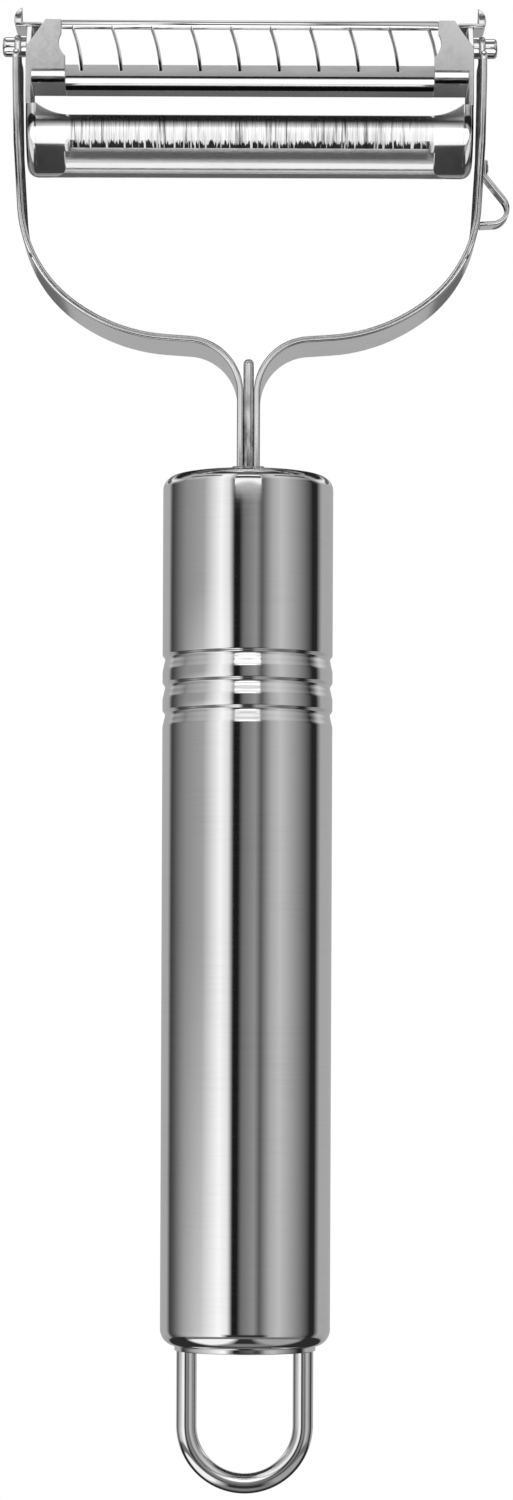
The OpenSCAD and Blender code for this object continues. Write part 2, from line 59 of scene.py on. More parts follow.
# Places and sizes read from the frame
TUBE_LOW, TUBE_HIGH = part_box("handle_tube")
CAP_LOW, CAP_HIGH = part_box("end_cap")
LOOP_LOW, LOOP_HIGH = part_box("hanging_loop")
PIN_LOW, PIN_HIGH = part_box("pivot_pin_right")
BAR_LOW, BAR_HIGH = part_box("guard_bar")
BLADE_LOW, BLADE_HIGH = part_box("peeling_blade")
TEETH_LOW, TEETH_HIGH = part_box("julienne_teeth")
PIVOT_Z = frame["joints"][0]["pos_m"][2]
# The two bodies that pieces ride on
FIXED = "handle_and_yoke"
HEAD = "head"
# Radius of the hole in the tube's foot, and of the cap's disc that shows in it
FOOT_HOLE = 8.32 * MM
CAP_DISC = 8.3 * MM
# Height of the axis that the trough is bent round
TROUGH_AXIS = BLADE_LOW.z + 6 * MM
# Where the brackets' pressed ends meet the peeling blade, and how high they reach
BRACKET_SEAM = 24.9 * MM
PRESSED_TOP = 107.42 * MM


def linear(hex_colour):
    """Linear colour of an sRGB hex value."""
    parts = [int(hex_colour[i:i + 2], 16) / 255 for i in (0, 2, 4)]
    return [c / 12.92 if c <= 0.04045 else ((c + 0.055) / 1.055) ** 2.4 for c in parts] + [1.0]


def add_node(tree, kind, settings=None, **links):
    """Adds a node; settings are its own values, links its sockets' values or the sockets feeding them."""
    made = tree.nodes.new(kind)
    for key, value in (settings or {}).items():
        setattr(made, key, value)
    for key, value in links.items():
        socket = made.inputs[int(key[1:])] if key[1:].isdigit() else made.inputs[key.replace("_", " ")]
        if isinstance(value, bpy.types.NodeSocket):
            tree.links.new(value, socket)
        else:
            socket.default_value = value
    return made


def empty_material(name):
    """A new material with no nodes."""
    material = bpy.data.materials.new(name)
    material.use_nodes = True
    material.node_tree.nodes.clear()
    return material


def ramp_stops(ramp, stops):
    """Sets a colour ramp's stops from pairs of place and hex colour."""
    elements = ramp.color_ramp.elements
    while len(elements) < len(stops):
        elements.new(0.5)
    for element, (place, colour) in zip(elements, stops):
        element.position = place
        element.color = linear(colour)


# Steel finishes


def steel(name, colour, roughness, lines, depth, tint=0.06, anisotropy=0.0):
    """Steel whose finish lines are this many per millimetre along X, Y and Z.

    The lines change colour and roughness a little and give a fine bump of this depth in mm."""
    material = empty_material(name)
    tree = material.node_tree
    where = add_node(tree, "ShaderNodeTexCoord").outputs["Object"]
    along = add_node(tree, "ShaderNodeMapping", Vector=where, Scale=[n / MM for n in lines]).outputs[0]
    grain = add_node(tree, "ShaderNodeTexNoise", Vector=along, Scale=1.0, Detail=3.0, Roughness=0.6)
    cloud = add_node(tree, "ShaderNodeTexNoise", Vector=where, Scale=0.12 / MM, Detail=2.0)
    both = add_node(tree, "ShaderNodeMath", {"operation": "ADD"}, _0=grain.outputs[0],
                    _1=cloud.outputs[0]).outputs[0]
    colours = add_node(tree, "ShaderNodeValToRGB", _0=both)
    base = linear(colour)[:3]
    darker, lighter = colours.color_ramp.elements
    darker.position = 0.7
    darker.color = [c * (1 - tint) for c in base] + [1.0]
    lighter.position = 1.0
    lighter.color = [min(1.0, c * (1 + tint)) for c in base] + [1.0]
    rough = add_node(tree, "ShaderNodeMapRange", _0=grain.outputs[0], _1=0.3, _2=0.7,
                     _3=roughness * 0.75, _4=roughness * 1.3).outputs[0]
    bump = add_node(tree, "ShaderNodeBump", Height=grain.outputs[0], Distance=depth * MM, Strength=1.0)
    shader = add_node(tree, "ShaderNodeBsdfPrincipled", Base_Color=colours.outputs[0], Metallic=1.0,
                      Roughness=rough, Normal=bump.outputs[0], Anisotropic=anisotropy)
    add_node(tree, "ShaderNodeOutputMaterial", Surface=shader.outputs[0])
    return material


def ground_steel_painted_reflection(name, colour, roughness):
    """Blade steel with upright grinding streaks over the slot's length, and painted dark reflection in a
    ragged band at its edge.
    """
    material = empty_material(name)
    tree = material.node_tree
    where = add_node(tree, "ShaderNodeTexCoord").outputs["Object"]
    place = add_node(tree, "ShaderNodeSeparateXYZ", _0=where)

    def lines(per_mm, seed, detail):
        """Noise packed tightly along the blade and drawn out up it."""
        drawn = add_node(tree, "ShaderNodeMapping", Vector=where, Location=(0, seed, 0),
                         Scale=(per_mm / MM, 0, 0.12 / MM))
        return add_node(tree, "ShaderNodeTexNoise", Vector=drawn.outputs[0], Scale=1.0, Detail=detail,
                        Roughness=0.65).outputs[0]

    # The grinding wheel only touched the front: where along, into and up the blade its marks end,
    # and where they're full. The painted dark reflection at the edge keeps within the same place
    along = add_node(tree, "ShaderNodeMath", {"operation": "ABSOLUTE"}, _0=place.outputs[0])
    reach = 1.0
    for value, none, full in ((along.outputs[0], 21.5, 20.6), (place.outputs[1], -3.2, -3.7),
                              (place.outputs[2], 105.9, 105.2)):
        part = add_node(tree, "ShaderNodeMapRange", _0=value, _1=none * MM, _2=full * MM)
        reach = add_node(tree, "ShaderNodeMath", {"operation": "MULTIPLY"}, _0=reach,
                         _1=part.outputs[0]).outputs[0]
    # How far below the ragged top of the painted dark reflection along the bevel a point lies,
    # with narrow gaps where that painted black stops lower
    painted_black_foot = 102.05 * MM
    painted_black_height = 1.9 * MM
    limit = add_node(tree, "ShaderNodeMath", {"operation": "MULTIPLY_ADD"}, _0=lines(3.6, 6.0, 4.0),
                     _1=painted_black_height, _2=painted_black_foot)
    painted_black_gaps = add_node(tree, "ShaderNodeMapRange", _0=lines(2.8, 12.0, 2.0), _1=0.58, _2=0.62, _4=2 * MM)
    under_painted_black = add_node(tree, "ShaderNodeMath", {"operation": "SUBTRACT"}, _0=limit.outputs[0],
                    _1=place.outputs[2])
    under_painted_black = add_node(tree, "ShaderNodeMath", {"operation": "SUBTRACT"}, _0=under_painted_black.outputs[0],
                    _1=painted_black_gaps.outputs[0])
    # Each layer's pattern, the values where it starts and is full, its strength and its tone
    # The first two layers are grinding streaks; the last is painted dark reflection, near black, along the
    # bevel up to its ragged top
    layers = ((lines(6.0, 9.0, 2.0), 0.35, 0.7, 0.45, "6E6E6E"),
              (lines(2.4, 3.0, 4.0), 0.51, 0.66, 0.85, "3C3C3C"),
              (under_painted_black.outputs[0], -0.07 * MM, 0.07 * MM, 0.98, "161616"))
    tone = linear(colour)
    for pattern, start, full, strength, layer in layers:
        part = add_node(tree, "ShaderNodeMapRange", _0=pattern, _1=start, _2=full, _4=strength)
        part = add_node(tree, "ShaderNodeMath", {"operation": "MULTIPLY"}, _0=part.outputs[0], _1=reach)
        tone = add_node(tree, "ShaderNodeMixRGB", _0=part.outputs[0], _1=tone,
                        _2=linear(layer)).outputs[0]
    ridges = add_node(tree, "ShaderNodeMath", {"operation": "MULTIPLY"}, _0=lines(3.0, 1.0, 3.0), _1=reach)
    bump = add_node(tree, "ShaderNodeBump", Height=ridges.outputs[0], Distance=0.002 * MM, Strength=1.0)
    shader = add_node(tree, "ShaderNodeBsdfPrincipled", Base_Color=tone, Metallic=1.0,
                      Roughness=roughness, Normal=bump.outputs[0])
    add_node(tree, "ShaderNodeOutputMaterial", Surface=shader.outputs[0])
    return material


def steel_dark_at_foot(name, colour, roughness):
    """Bright steel that turns dark towards its foot, with soft mottling."""
    material = empty_material(name)
    tree = material.node_tree
    where = add_node(tree, "ShaderNodeTexCoord").outputs["Object"]
    height = add_node(tree, "ShaderNodeSeparateXYZ", _0=where).outputs[2]
    # Heights where the dark tone starts and is full, and how far the mottling shifts them
    start = 114.0 * MM
    full = 112.9 * MM
    shift = 1.6 * MM
    spots = add_node(tree, "ShaderNodeTexNoise", Vector=where, Scale=1.3 / MM, Detail=2.0).outputs[0]
    spots = add_node(tree, "ShaderNodeMath", {"operation": "MULTIPLY"}, _0=spots, _1=shift).outputs[0]
    height = add_node(tree, "ShaderNodeMath", {"operation": "ADD"}, _0=height, _1=spots).outputs[0]
    foot = add_node(tree, "ShaderNodeMapRange", _0=height, _1=start, _2=full).outputs[0]
    tone = add_node(tree, "ShaderNodeMixRGB", _0=foot, _1=linear(colour), _2=linear("202020")).outputs[0]
    shader = add_node(tree, "ShaderNodeBsdfPrincipled", Base_Color=tone, Metallic=1.0, Roughness=roughness)
    add_node(tree, "ShaderNodeOutputMaterial", Surface=shader.outputs[0])
    return material


def finishes():
    """The steel finishes, made once and kept by name."""
    kept = bpy.data.materials
    if "mirror_polished_tube" in kept:
        return kept
    look = bpy.context.scene.peeler_finish
    # Buffed lengthwise: clear reflections with faint lines round the tube
    steel("mirror_polished_tube", look.polished_hex, 0.055, (0.15, 0.15, 3.0), 0.0004, 0.02)
    # Drawn and tumbled wire: bright, with a slightly softer reflection
    steel("bright_drawn_wire", look.polished_hex, 0.07, (1.5, 1.5, 0.5), 0.0003, 0.03)
    # Rolled strip, tumbled after bending: soft reflections, rounded edges
    steel("tumbled_strip", look.strip_hex, 0.13, (0.8, 2.0, 0.8), 0.0006, 0.05)
    # The stem's strip with painted reflection: darker, with strong uneven streaks drawn up it
    steel("heated_strip", "B0B0B0", 0.075, (0.9, 0.9, 0.3), 0.0006, 0.5)
    # Blanked and pressed sheet: an even satin grey with fine grain
    steel("satin_sheet", look.sheet_hex, 0.15, (1.2, 1.2, 1.2), 0.0006, 0.05)
    # Hardened blade steel, finely polished: crisp bands along the blade
    steel("polished_blade", look.blade_hex, 0.085, (0.3, 1.2, 1.2), 0.0002, 0.03)
    # The same steel ground across its cutting edge: fine upright streaks, and a ragged band of painted
    # dark reflection on the bevel
    ground_steel_painted_reflection("ground_blade", look.blade_hex, 0.12)
    # The inside of the trough, which no wheel reaches: the rolled sheet's own soft pale grey
    steel("rolled_inside", look.blade_hex, 0.13, (1.0, 3.0, 3.0), 0.0004, 0.04)
    # Small teeth, darker towards their foot where they're set in the blade
    steel_dark_at_foot("tempered_tooth", look.blade_hex, 0.12)
    # Plain turned or welded steel: dull and slightly uneven
    steel("plain_weld", look.plain_hex, 0.35, (2.0, 2.0, 2.0), 0.0100, 0.15)
    return kept


# Modelling steps


def edit(piece):
    """Opens one piece, and no other, in edit mode with all of it selected."""
    bpy.ops.object.select_all(action="DESELECT")
    piece.select_set(True)
    bpy.context.view_layer.objects.active = piece
    bpy.ops.object.mode_set(mode="EDIT")
    bpy.ops.mesh.select_mode(type="VERT")
    bpy.ops.mesh.select_all(action="SELECT")


def close_edit():
    """Leaves edit mode."""
    bpy.ops.object.mode_set(mode="OBJECT")


def pick(piece, kind, test):
    """In edit mode, selects the edges or faces that pass a test, and nothing else."""
    bpy.ops.mesh.select_mode(type=kind[:4].upper())
    bpy.ops.mesh.select_all(action="DESELECT")
    shape = bmesh.from_edit_mesh(piece.data)
    for part in getattr(shape, kind):
        if test(part):
            part.select_set(True)
    shape.select_flush_mode()
    bmesh.update_edit_mesh(piece.data)


def start_point(name, place):
    """A new piece that is one point, which the next steps extrude."""
    bpy.ops.object.select_all(action="DESELECT")
    bpy.ops.mesh.primitive_plane_add(size=MM, location=(0, 0, 0))
    piece = bpy.context.object
    piece.name = name
    piece.data.name = name
    edit(piece)
    bpy.ops.mesh.merge(type="CENTER")
    bpy.ops.transform.translate(value=place)
    return piece


def turned(name, outline, centre, along, steps, smooth=40):
    """A piece turned on a lathe. Outline holds pairs of radius and height along the axis.

    Edges under the smooth angle in degrees don't show in its shading."""
    along = Vector(along)
    across = Vector((0, 0, 1)) if abs(along.x) > 0.5 else Vector((1, 0, 0))
    places = [Vector(centre) + across * r + along * h for r, h in outline]
    piece = start_point(name, places[0])
    for before, after in zip(places, places[1:]):
        bpy.ops.mesh.extrude_region_move(TRANSFORM_OT_translate={"value": after - before})
    bpy.ops.mesh.select_all(action="SELECT")
    bpy.ops.mesh.spin(steps=steps, angle=2 * math.pi, center=centre, axis=along, use_auto_merge=True)
    bpy.ops.mesh.select_all(action="SELECT")
    bpy.ops.mesh.remove_doubles(threshold=1e-6)
    bpy.ops.mesh.normals_make_consistent(inside=False)
    close_edit()
    bpy.ops.object.shade_smooth_by_angle(angle=math.radians(smooth))
    return piece


def arc(centre_r, centre_h, radius, start, end, steps):
    """Points of a rounding in a lathe outline, from one angle to another in degrees."""
    points = []
    for i in range(steps + 1):
        a = math.radians(start + (end - start) * i / steps)
        points.append((centre_r + radius * math.cos(a), centre_h + radius * math.sin(a)))
    return points


def from_frame(node, name):
    """A merged copy of a CAD node, its flat faces joined, ready to be rounded off."""
    piece = bpy.data.objects.new(name, frame["nodes"][node].data.copy())
    piece.data.name = name
    bpy.context.scene.collection.objects.link(piece)
    edit(piece)
    bpy.ops.mesh.remove_doubles(threshold=2e-6)
    bpy.ops.mesh.dissolve_limited(angle_limit=math.radians(0.4))
    close_edit()
    return piece


def round_edges(piece, width, segments=3, angle=32, clamp=False, seam=None, crease=None):
    """Rounds off the sharp edges and keeps flat faces flat in shading.

    Edges in a seam, and those with an angle from crease up, stay crisp instead."""
    edit(piece)
    bpy.ops.mesh.faces_shade_smooth()
    sharp = math.radians(angle)
    if seam:
        pick(piece, "edges", lambda e: all(abs(abs(v.co.x) - seam) < 0.03 * MM for v in e.verts))
        bpy.ops.mesh.mark_sharp()
    if crease:
        pick(piece, "edges", lambda e: math.radians(crease) < e.calc_face_angle(0) <= sharp)
        bpy.ops.mesh.mark_sharp()
    pick(piece, "edges", lambda e: e.smooth and e.calc_face_angle(0) > sharp)
    bpy.ops.transform.edge_bevelweight(value=1)
    close_edit()
    bevel = piece.modifiers.new("edges", "BEVEL")
    bevel.width = width
    bevel.segments = segments
    bevel.limit_method = "WEIGHT"
    bevel.use_clamp_overlap = clamp
    bevel.miter_outer = "MITER_ARC"
    bpy.ops.object.modifier_apply(modifier="edges")
    even = piece.modifiers.new("even", "WEIGHTED_NORMAL")
    even.weight = 60
    even.keep_sharp = True
    bpy.ops.object.modifier_apply(modifier="even")


def dress(piece, body, finish, nodes):
    """Gives a finished piece its finish, its body and the CAD nodes that it stands for."""
    piece.data.materials.clear()
    piece.data.materials.append(finishes()[finish])
    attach(piece, body)
    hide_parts(*nodes)


def rounded(node, name, body, slot, finish, width, **how):
    """A dressed copy of a CAD node with its sharp edges rounded off to this width."""
    piece = from_frame(node, name)
    round_edges(piece, width, **how)
    dress(piece, body, finish, [node])
    return piece


def second_finish(piece, finish, test):
    """Gives the faces of a dressed piece that pass a test another finish."""
    bpy.ops.object.material_slot_add()
    piece.material_slots[1].material = finishes()[finish]
    piece.active_material_index = 1
    edit(piece)
    pick(piece, "faces", test)
    bpy.ops.object.material_slot_assign()
    close_edit()


# Values that a user would change


class PeelerFinish(bpy.types.PropertyGroup):
    polished_hex: bpy.props.StringProperty(
        name="Polished steel", description="sRGB hex colour of the polished pieces", default="ECECEC")
    strip_hex: bpy.props.StringProperty(
        name="Strip", description="sRGB hex colour of the tumbled strips", default="E6E6E6")
    sheet_hex: bpy.props.StringProperty(
        name="Sheet", description="sRGB hex colour of the satin sheet", default="E0E0E0")
    blade_hex: bpy.props.StringProperty(
        name="Blade", description="sRGB hex colour of the blade steel", default="DCDCDC")
    plain_hex: bpy.props.StringProperty(
        name="Plain steel", description="sRGB hex colour of plain and welded steel", default="B8B8B8")


class PeelerHandle(bpy.types.PropertyGroup):
    top_round: bpy.props.FloatProperty(
        name="Top rounding", description="Rounding of the tube's top end", default=1.6 * MM,
        min=0.5 * MM, max=3 * MM, unit="LENGTH", precision=5)
    bottom_round: bpy.props.FloatProperty(
        name="Bottom rounding", description="Rounding of the tube's bottom end", default=2 * MM,
        min=0.5 * MM, max=3 * MM, unit="LENGTH", precision=5)
    wall: bpy.props.FloatProperty(
        name="Wall", description="Wall of the tube", default=0.8 * MM,
        min=0.4 * MM, max=2 * MM, unit="LENGTH", precision=5)
    groove_height: bpy.props.FloatProperty(
        name="Groove height", description="Height of the lowest groove above the tube's bottom end",
        default=74.2 * MM, min=10 * MM, max=90 * MM, unit="LENGTH", precision=5)
    groove_pitch: bpy.props.FloatProperty(
        name="Groove pitch", description="Distance from groove to groove", default=3.25 * MM,
        min=2.5 * MM, max=6 * MM, unit="LENGTH", precision=5)
    groove_depth: bpy.props.FloatProperty(
        name="Groove depth", description="Depth of each rolled groove", default=0.3 * MM,
        min=0.1 * MM, max=0.6 * MM, unit="LENGTH", precision=5)
    groove_count: bpy.props.IntProperty(
        name="Grooves", description="Number of rolled grooves", default=3, min=1, max=4)


class PeelerEdges(bpy.types.PropertyGroup):
    strip: bpy.props.FloatProperty(
        name="Strip edges", description="Rounding of the strips' tumbled edges", default=0.28 * MM,
        min=0.05 * MM, max=0.36 * MM, unit="LENGTH", precision=5)
    sheet: bpy.props.FloatProperty(
        name="Sheet edges", description="Rounding of the sheet's blanked edges", default=0.1 * MM,
        min=0.02 * MM, max=0.2 * MM, unit="LENGTH", precision=5)
    blade: bpy.props.FloatProperty(
        name="Blade edges", description="Rounding of the blades' plain edges", default=0.06 * MM,
        min=0.02 * MM, max=0.15 * MM, unit="LENGTH", precision=5)


# Pieces


class OBJECT_OT_peeler_handle(bpy.types.Operator):
    """Turns the handle tube with its rolled grooves, and the end cap in its foot"""
    bl_idname = "object.peeler_handle"
    bl_label = "Handle"

    def execute(self, context):
        size = context.scene.peeler_handle
        radius = TUBE_HIGH.x
        low = TUBE_LOW.z
        high = TUBE_HIGH.z
        # Chamfer of the hole in the foot, and the height over which the thick foot thins to the wall
        chamfer = 0.04 * MM
        taper = 1 * MM
        inner = radius - size.wall
        shelf = low + size.bottom_round
        outline = [(0, high)]
        outline += arc(radius - size.top_round, high - size.top_round, size.top_round, 90, 0, 12)
        for i in reversed(range(size.groove_count)):
            middle = low + size.groove_height + i * size.groove_pitch
            outline += self.groove(radius, middle, size.groove_depth)
        outline += arc(radius - size.bottom_round, shelf, size.bottom_round, 0, -90, 14)
        outline += [(FOOT_HOLE + chamfer, low), (FOOT_HOLE, low + chamfer), (FOOT_HOLE, shelf),
                    (inner, shelf + taper), (inner, high - size.top_round), (0, high - size.wall)]
        tube = turned("handle_tube_shell", outline, (0, 0, 0), (0, 0, 1), steps=160)
        dress(tube, FIXED, "mirror_polished_tube", ["handle_tube"])
        self.cap()
        return {"FINISHED"}

    def groove(self, radius, middle, depth):
        """One rolled groove from its upper lip to its lower: steep above, drawn out below."""
        above = 0.5 * MM
        below = 1.6 * MM
        steps = 24
        # Share of a threefold wave, which fills out the groove's sides
        fill = 0.09
        points = []
        for i in range(steps + 1):
            t = 1 - 2 * i / steps
            reach = above if t > 0 else below
            swell = (math.cos(math.pi * t) + fill * math.cos(3 * math.pi * t)) / (1 + fill)
            points.append((radius - depth * (1 + swell) / 2, middle + reach * t))
        return points

    def cap(self):
        """The end cap's disc, with its lower edge rounded."""
        edge = 0.12 * MM
        low = CAP_LOW.z
        outline = [(0, low)]
        outline += arc(CAP_DISC - edge, low + edge, edge, -90, 0, 5)
        outline += [(CAP_DISC, CAP_HIGH.z), (0, CAP_HIGH.z)]
        cap = turned("end_cap_disc", outline, (0, 0, 0), (0, 0, 1), steps=96)
        dress(cap, FIXED, "mirror_polished_tube", ["end_cap"])


class OBJECT_OT_peeler_loop(bpy.types.Operator):
    """Draws the hanging loop's wire down one leg, round the bend and up the other leg"""
    bl_idname = "object.peeler_loop"
    bl_label = "Hanging loop"

    def execute(self, context):
        wire = LOOP_HIGH.y
        bend = LOOP_HIGH.x - wire
        top = LOOP_HIGH.z
        knee = LOOP_LOW.z + bend + wire
        bpy.ops.object.select_all(action="DESELECT")
        bpy.ops.mesh.primitive_circle_add(vertices=40, radius=wire, fill_type="NOTHING",
                                          location=(-bend, 0, top))
        loop = context.object
        loop.name = "hanging_loop_wire"
        loop.data.name = loop.name
        bpy.ops.object.transform_apply()
        edit(loop)
        down = (0, 0, knee - top)
        bpy.ops.mesh.extrude_edges_move(TRANSFORM_OT_translate={"value": down})
        bpy.ops.mesh.spin(steps=72, angle=math.pi, center=(0, 0, knee), axis=(0, 1, 0))
        bpy.ops.mesh.extrude_edges_move(TRANSFORM_OT_translate={"value": (0, 0, top - knee)})
        bpy.ops.mesh.select_all(action="SELECT")
        bpy.ops.mesh.remove_doubles(threshold=1e-6)
        pick(loop, "edges", lambda e: e.is_boundary and e.verts[0].co.x < 0)
        bpy.ops.mesh.edge_face_add()
        pick(loop, "edges", lambda e: e.is_boundary)
        bpy.ops.mesh.edge_face_add()
        bpy.ops.mesh.select_all(action="SELECT")
        bpy.ops.mesh.normals_make_consistent(inside=False)
        close_edit()
        bpy.ops.object.shade_smooth_by_angle(angle=math.radians(40))
        dress(loop, FIXED, "bright_drawn_wire", ["hanging_loop"])
        return {"FINISHED"}


class OBJECT_OT_peeler_yoke(bpy.types.Operator):
    """Rounds off the two bent strips, the tang between them, and the weld round their foot"""
    bl_idname = "object.peeler_yoke"
    bl_label = "Yoke"

    def execute(self, context):
        strip = context.scene.peeler_edges.strip
        for side in ("left", "right"):
            rounded("yoke_arm_" + side, "yoke_strip_" + side, FIXED, "satin_steel", "tumbled_strip",
                    strip, segments=4)
        # The tang's finish is painted reflection: darker, with strong streaks up it
        rounded("stem_tang", "stem_tang_plate", FIXED, "satin_steel", "heated_strip", 0.48 * MM,
                segments=6)
        rounded("stem_anchor", "stem_anchor_plug", FIXED, "plain_steel", "plain_weld", 0.1 * MM)
        rounded("stem_weld", "stem_weld_bead", FIXED, "satin_steel", "plain_weld", 0.22 * MM,
                segments=4, clamp=True)
        return {"FINISHED"}


class OBJECT_OT_peeler_pins(bpy.types.Operator):
    """Turns the two pivot rivets: domed outer head, shank, shoulder and riveted tail"""
    bl_idname = "object.peeler_pins"
    bl_label = "Pivot pins"

    def execute(self, context):
        # Radii of the heads and the shank, rounding of the outer head, edge and end of the riveted tail
        head = 1.15 * MM
        shank = 0.8 * MM
        dome = 0.45 * MM
        edge = 0.1 * MM
        tail = PIN_LOW.x + 0.5 * MM
        # Between which distances from the middle the shoulder lies, and where the outer head starts
        shoulder_in = 26.2 * MM
        shoulder_out = 26.86 * MM
        head_in = 27.67 * MM
        outline = [(0, PIN_LOW.x), (head - edge, PIN_LOW.x), (head, PIN_LOW.x + edge), (head, tail),
                   (shank, tail), (shank, shoulder_in), (head, shoulder_in), (head, shoulder_out),
                   (shank, shoulder_out), (shank, head_in), (head, head_in)]
        outline += arc(head - dome, PIN_HIGH.x - dome, dome, 0, 90, 8)
        outline += [(0, PIN_HIGH.x)]
        for side, sign in (("left", -1), ("right", 1)):
            pin = turned("pivot_rivet_" + side, outline, (0, 0, PIVOT_Z), (sign, 0, 0), steps=48)
            dress(pin, FIXED, "bright_drawn_wire", ["pivot_pin_" + side])
        return {"FINISHED"}


class OBJECT_OT_peeler_brackets(bpy.types.Operator):
    """Rounds off the brackets at the head's ends, and polishes the ends pressed to fit the blade"""
    bl_idname = "object.peeler_brackets"
    bl_label = "Head brackets"

    def execute(self, context):
        width = context.scene.peeler_edges.sheet
        for side in ("left", "right"):
            bracket = rounded("head_bracket_" + side, "bracket_sheet_" + side, HEAD, "satin_steel",
                              "satin_sheet", width, seam=BRACKET_SEAM)
            second_finish(bracket, "polished_blade", lambda f: f.calc_center_median().z < PRESSED_TOP)
        return {"FINISHED"}


class OBJECT_OT_peeler_julienne(bpy.types.Operator):
    """Rounds off the julienne blade and its teeth, and turns the guard bar over them"""
    bl_idname = "object.peeler_julienne"
    bl_label = "Julienne blade"

    def execute(self, context):
        rounded("julienne_blade", "julienne_blade_bar", HEAD, "blade_steel", "polished_blade",
                context.scene.peeler_edges.blade)
        self.teeth()
        self.guard()
        return {"FINISHED"}

    def guard(self):
        """The guard bar, with a small chamfer at each end."""
        chamfer = 0.05 * MM
        radius = (BAR_HIGH.z - BAR_LOW.z) / 2
        place = (0, (BAR_LOW.y + BAR_HIGH.y) / 2, (BAR_LOW.z + BAR_HIGH.z) / 2)
        outline = [(0, BAR_LOW.x), (radius - chamfer, BAR_LOW.x), (radius, BAR_LOW.x + chamfer),
                   (radius, BAR_HIGH.x - chamfer), (radius - chamfer, BAR_HIGH.x), (0, BAR_HIGH.x)]
        bar = turned("guard_rod", outline, place, (1, 0, 0), steps=48, smooth=50)
        dress(bar, HEAD, "bright_drawn_wire", ["guard_bar"])

    def teeth(self):
        """One tooth, bowed and twisted on its way down from the bar, then copied along the blade."""
        count = 10
        pitch = 4.611 * MM
        steps = 12
        # Half the tooth's thickness along the blade, and half its width from front to back, in mm
        half_thick = 0.2
        half_wide = 1.08
        top = TEETH_HIGH.z
        foot = TEETH_LOW.z
        middle = (TEETH_LOW.y + TEETH_HIGH.y) / 2
        lean = math.tan(math.radians(12))
        bpy.ops.object.select_all(action="DESELECT")
        bpy.ops.mesh.primitive_circle_add(vertices=16, radius=MM, fill_type="NGON",
                                          location=(0, middle, top))
        tooth = bpy.context.object
        tooth.name = "julienne_tooth_row"
        tooth.data.name = tooth.name
        tooth.scale = (half_thick, half_wide, 1)
        bpy.ops.object.transform_apply(location=True, rotation=False, scale=True)
        edit(tooth)
        for i in range(steps):
            before = i / steps
            after = (i + 1) / steps
            across = self.bow(after) - self.bow(before) + lean * (top - foot) / steps
            turn = math.radians(self.twist(after) - self.twist(before))
            section = (self.bow(after) + lean * (top - foot) * after, middle, top + (foot - top) * after)
            bpy.ops.mesh.extrude_region_move(
                TRANSFORM_OT_translate={"value": (across, 0, (foot - top) / steps)})
            bpy.ops.transform.rotate(value=turn, orient_axis="Z", center_override=section)
        bpy.ops.mesh.select_all(action="SELECT")
        bpy.ops.mesh.normals_make_consistent(inside=False)
        close_edit()
        bpy.ops.object.shade_smooth_by_angle(angle=math.radians(50))
        row = [tooth]
        for i in range(1, count):
            copy = tooth.copy()
            copy.data = tooth.data.copy()
            bpy.context.scene.collection.objects.link(copy)
            copy.location.x = (i - (count - 1) / 2) * pitch
            row.append(copy)
        tooth.location.x = -(count - 1) / 2 * pitch
        for part in row:
            part.select_set(True)
        bpy.context.view_layer.objects.active = tooth
        bpy.ops.object.transform_apply(location=True, rotation=False, scale=False)
        bpy.ops.object.join()
        dress(tooth, HEAD, "tempered_tooth", ["julienne_teeth"])

    def bow(self, t):
        """How far the tooth bows towards the eye remover at this part of its height."""
        most = 0.24 * MM
        return most * math.sin(math.pi * t)

    def twist(self, t):
        """Turn of the tooth's section in degrees at this part of its height."""
        most = 4
        return most * math.sin(math.pi * t)


class OBJECT_OT_peeler_blade(bpy.types.Operator):
    """Rounds off the trough-shaped peeling blade"""
    bl_idname = "object.peeler_blade"
    bl_label = "Peeling blade"

    def execute(self, context):
        blade = from_frame("peeling_blade", "peeling_trough")
        # Cuts beside the slot's ends, so that the bevel's end doesn't bend the shading of the long faces
        edit(blade)
        for x in (-21.6, -20.9, 20.9, 21.6):
            bpy.ops.mesh.select_all(action="SELECT")
            bpy.ops.mesh.bisect(plane_co=(x * MM, 0, 0), plane_no=(1, 0, 0))
        close_edit()
        round_edges(blade, context.scene.peeler_edges.blade, seam=BLADE_HIGH.x, crease=14)
        # The blade's finish holds painted dark reflection in a ragged band along the bevel
        dress(blade, HEAD, "ground_blade", ["peeling_blade"])
        # The trough's inside: the faces that look at its axis, from more than 3 mm away
        axis = Vector((0, 0, TROUGH_AXIS))
        second_finish(blade, "rolled_inside",
                      lambda f: (f.calc_center_median() - axis).dot(f.normal) < -3 * MM)
        return {"FINISHED"}


class OBJECT_OT_peeler_eye_remover(bpy.types.Operator):
    """Rounds off the eye remover's bent strip and its spot weld"""
    bl_idname = "object.peeler_eye_remover"
    bl_label = "Eye remover"

    def execute(self, context):
        rounded("eye_remover", "eye_remover_strip", FIXED, "polished_steel", "bright_drawn_wire",
                0.18 * MM, segments=4)
        rounded("eye_weld", "eye_weld_spot", FIXED, "plain_steel", "plain_weld", 0.08 * MM)
        return {"FINISHED"}


